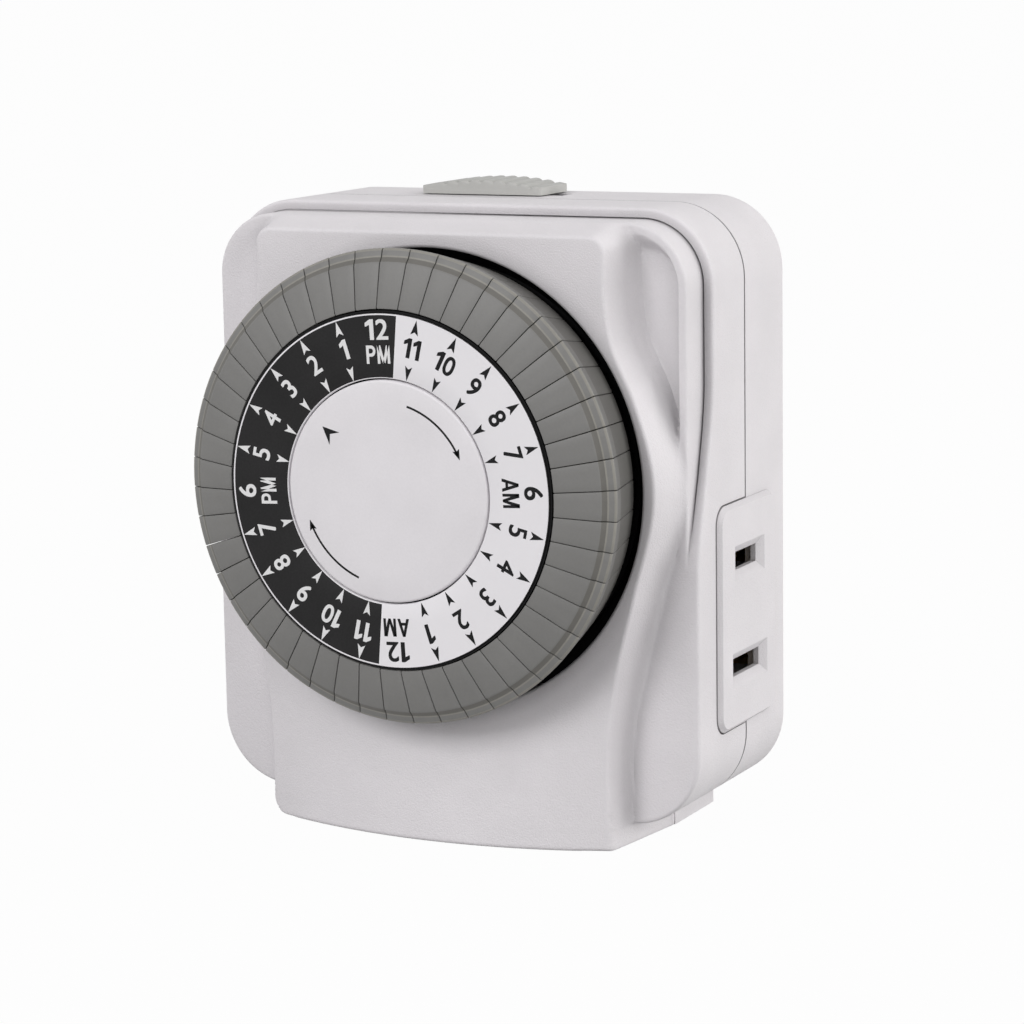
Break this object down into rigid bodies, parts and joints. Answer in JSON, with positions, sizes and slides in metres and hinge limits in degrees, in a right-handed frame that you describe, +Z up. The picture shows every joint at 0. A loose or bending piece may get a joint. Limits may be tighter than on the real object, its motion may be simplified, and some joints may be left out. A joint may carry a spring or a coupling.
{
  "type": "plug-in timer switch",
  "caption": "Plug-in mechanical 24-hour timer switch: a rotary dial ringed by push tappets, a top override slider, an outlet in each side and two flat plug blades at the back.",
  "frame": {"origin": "centre of the plug blades' line on the back face, the face that rests against the wall outlet", "axes": "+Z up, -Y out of the dial's face towards the user, +Y into the wall along the blades, +X to the viewer's right"},
  "size_m": [0.065, 0.0578, 0.076],
  "materials": {
    "shell": "fine matte",
    "ring_grey": "satin",
    "slider_grey": "fine matte",
    "black_plastic": "satin",
    "steel": "zinc plated",
    "brass": "rolled",
    "silver": "satin",
    "acetal": "natural",
    "magnet": "sintered",
    "coil_tape": "tape",
    "lead_insulation": "smooth"
  },
  "bodies": {
    "housing": {"front_housing": "shell", "rear_housing": "shell", "housing_screws": "steel", "centre_cap": "black_plastic", "mechanism_plate": "black_plastic", "plate_screws": "steel", "gear_plate": "steel", "gear_pillars": "steel", "pillar_screws": "steel", "motor_cup": "steel", "motor_cover": "steel", "motor_coil": "coil_tape", "motor_screws": "steel", "motor_spacers": "steel", "motor_leads": "lead_insulation", "line_blade": "brass", "neutral_blade": "brass", "line_bus": "brass", "neutral_bus": "brass", "fixed_contact": "silver", "follower_pin": "steel"},
    "dial": {"dial_drum": "black_plastic", "number_plate": "black_plastic"},
    "tappets_01": {"tappets_01": "ring_grey"},
    "tappets_02": {"tappets_02": "ring_grey"},
    "tappets_03": {"tappets_03": "ring_grey"},
    "tappets_04": {"tappets_04": "ring_grey"},
    "tappets_05": {"tappets_05": "ring_grey"},
    "tappets_06": {"tappets_06": "ring_grey"},
    "tappets_07": {"tappets_07": "ring_grey"},
    "tappets_08": {"tappets_08": "ring_grey"},
    "tappets_09": {"tappets_09": "ring_grey"},
    "tappets_10": {"tappets_10": "ring_grey"},
    "tappets_11": {"tappets_11": "ring_grey"},
    "tappets_12": {"tappets_12": "ring_grey"},
    "tappets_13": {"tappets_13": "ring_grey"},
    "tappets_14": {"tappets_14": "ring_grey"},
    "tappets_15": {"tappets_15": "ring_grey"},
    "tappets_16": {"tappets_16": "ring_grey"},
    "tappets_17": {"tappets_17": "ring_grey"},
    "tappets_18": {"tappets_18": "ring_grey"},
    "tappets_19": {"tappets_19": "ring_grey"},
    "tappets_20": {"tappets_20": "ring_grey"},
    "tappets_21": {"tappets_21": "ring_grey"},
    "tappets_22": {"tappets_22": "ring_grey"},
    "tappets_23": {"tappets_23": "ring_grey"},
    "tappets_24": {"tappets_24": "ring_grey"},
    "override_slider": {"override_slider": "slider_grey"},
    "follower_lever": {"follower_lever": "acetal"},
    "switch_leaf": {"switch_leaf": "brass", "moving_contact": "silver"},
    "motor_rotor": {"motor_rotor": "magnet"},
    "gear_1": {"gear_1": "acetal"},
    "gear_2": {"gear_2": "acetal"},
    "gear_3": {"gear_3": "acetal"},
    "gear_4": {"gear_4": "acetal"},
    "clutch_gear": {"clutch_gear": "acetal", "clutch_spring": "steel"},
    "dial_pinion": {"dial_pinion": "acetal"}
  },
  "joints": [
    {"name": "dial_turn", "type": "hinge", "parent": "housing", "child": "dial", "pos_m": [0, 0, -0.00815], "axis": [0, 1, 0], "continuous": true},
    {"name": "tappets_01_push", "type": "slide", "parent": "dial", "child": "tappets_01", "axis": [0, 1, 0], "range_m": [0, 0.003]},
    {"name": "tappets_02_push", "type": "slide", "parent": "dial", "child": "tappets_02", "axis": [0, 1, 0], "range_m": [0, 0.003]},
    {"name": "tappets_03_push", "type": "slide", "parent": "dial", "child": "tappets_03", "axis": [0, 1, 0], "range_m": [0, 0.003]},
    {"name": "tappets_04_push", "type": "slide", "parent": "dial", "child": "tappets_04", "axis": [0, 1, 0], "range_m": [0, 0.003]},
    {"name": "tappets_05_push", "type": "slide", "parent": "dial", "child": "tappets_05", "axis": [0, 1, 0], "range_m": [0, 0.003]},
    {"name": "tappets_06_push", "type": "slide", "parent": "dial", "child": "tappets_06", "axis": [0, 1, 0], "range_m": [0, 0.003]},
    {"name": "tappets_07_push", "type": "slide", "parent": "dial", "child": "tappets_07", "axis": [0, 1, 0], "range_m": [0, 0.003]},
    {"name": "tappets_08_push", "type": "slide", "parent": "dial", "child": "tappets_08", "axis": [0, 1, 0], "range_m": [0, 0.003]},
    {"name": "tappets_09_push", "type": "slide", "parent": "dial", "child": "tappets_09", "axis": [0, 1, 0], "range_m": [0, 0.003]},
    {"name": "tappets_10_push", "type": "slide", "parent": "dial", "child": "tappets_10", "axis": [0, 1, 0], "range_m": [0, 0.003]},
    {"name": "tappets_11_push", "type": "slide", "parent": "dial", "child": "tappets_11", "axis": [0, 1, 0], "range_m": [0, 0.003]},
    {"name": "tappets_12_push", "type": "slide", "parent": "dial", "child": "tappets_12", "axis": [0, 1, 0], "range_m": [0, 0.003]},
    {"name": "tappets_13_push", "type": "slide", "parent": "dial", "child": "tappets_13", "axis": [0, 1, 0], "range_m": [0, 0.003]},
    {"name": "tappets_14_push", "type": "slide", "parent": "dial", "child": "tappets_14", "axis": [0, 1, 0], "range_m": [0, 0.003]},
    {"name": "tappets_15_push", "type": "slide", "parent": "dial", "child": "tappets_15", "axis": [0, 1, 0], "range_m": [0, 0.003]},
    {"name": "tappets_16_push", "type": "slide", "parent": "dial", "child": "tappets_16", "axis": [0, 1, 0], "range_m": [0, 0.003]},
    {"name": "tappets_17_push", "type": "slide", "parent": "dial", "child": "tappets_17", "axis": [0, 1, 0], "range_m": [0, 0.003]},
    {"name": "tappets_18_push", "type": "slide", "parent": "dial", "child": "tappets_18", "axis": [0, 1, 0], "range_m": [0, 0.003]},
    {"name": "tappets_19_push", "type": "slide", "parent": "dial", "child": "tappets_19", "axis": [0, 1, 0], "range_m": [0, 0.003]},
    {"name": "tappets_20_push", "type": "slide", "parent": "dial", "child": "tappets_20", "axis": [0, 1, 0], "range_m": [0, 0.003]},
    {"name": "tappets_21_push", "type": "slide", "parent": "dial", "child": "tappets_21", "axis": [0, 1, 0], "range_m": [0, 0.003]},
    {"name": "tappets_22_push", "type": "slide", "parent": "dial", "child": "tappets_22", "axis": [0, 1, 0], "range_m": [0, 0.003]},
    {"name": "tappets_23_push", "type": "slide", "parent": "dial", "child": "tappets_23", "axis": [0, 1, 0], "range_m": [0, 0.003]},
    {"name": "tappets_24_push", "type": "slide", "parent": "dial", "child": "tappets_24", "axis": [0, 1, 0], "range_m": [0, 0.003]},
    {"name": "override_slide", "type": "slide", "parent": "housing", "child": "override_slider", "axis": [1, 0, 0], "range_m": [0, 0.0072]},
    {"name": "follower_pivot", "type": "hinge", "parent": "housing", "child": "follower_lever", "pos_m": [-0.0191, -0.0182, -0.0075], "axis": [-1, 0, 0], "range_deg": [0, 11], "stiffness_Nm_per_rad": 0.004, "springref_deg": -5.73},
    {"name": "leaf_flex", "type": "hinge", "parent": "housing", "child": "switch_leaf", "pos_m": [-0.0191, -0.01525, -0.016], "axis": [-1, 0, 0], "range_deg": [0, 6]},
    {"name": "rotor_spin", "type": "hinge", "parent": "housing", "child": "motor_rotor", "pos_m": [0, 0, -0.033], "axis": [0, 1, 0], "continuous": true},
    {"name": "gear_1_spin", "type": "hinge", "parent": "housing", "child": "gear_1", "pos_m": [0.0054, 0, -0.02657], "axis": [0, 1, 0], "continuous": true},
    {"name": "gear_2_spin", "type": "hinge", "parent": "housing", "child": "gear_2", "pos_m": [0.00717, 0, -0.01652], "axis": [0, 1, 0], "continuous": true},
    {"name": "gear_3_spin", "type": "hinge", "parent": "housing", "child": "gear_3", "pos_m": [-0.00033, 0, -0.00875], "axis": [0, 1, 0], "continuous": true},
    {"name": "gear_4_spin", "type": "hinge", "parent": "housing", "child": "gear_4", "pos_m": [-0.00182, 0, 0.00164], "axis": [0, 1, 0], "continuous": true},
    {"name": "clutch_gear_spin", "type": "hinge", "parent": "housing", "child": "clutch_gear", "pos_m": [0.01011, 0, 0.00033], "axis": [0, 1, 0], "continuous": true},
    {"name": "dial_pinion_spin", "type": "hinge", "parent": "housing", "child": "dial_pinion", "pos_m": [0.01011, 0, 0.00033], "axis": [0, 1, 0], "continuous": true}
  ],
  "couplings": [
    {"joint": "dial_pinion_spin", "follows": "dial_turn", "ratio": -10},
    {"joint": "gear_1_spin", "follows": "rotor_spin", "ratio": -0.16667},
    {"joint": "gear_2_spin", "follows": "rotor_spin", "ratio": 0.022222},
    {"joint": "gear_3_spin", "follows": "rotor_spin", "ratio": -0.0027778},
    {"joint": "gear_4_spin", "follows": "rotor_spin", "ratio": 0.00026042},
    {"joint": "clutch_gear_spin", "follows": "rotor_spin", "ratio": -0.000028935},
    {"joint": "leaf_flex", "follows": "follower_pivot", "ratio": 0.515}
  ]
}
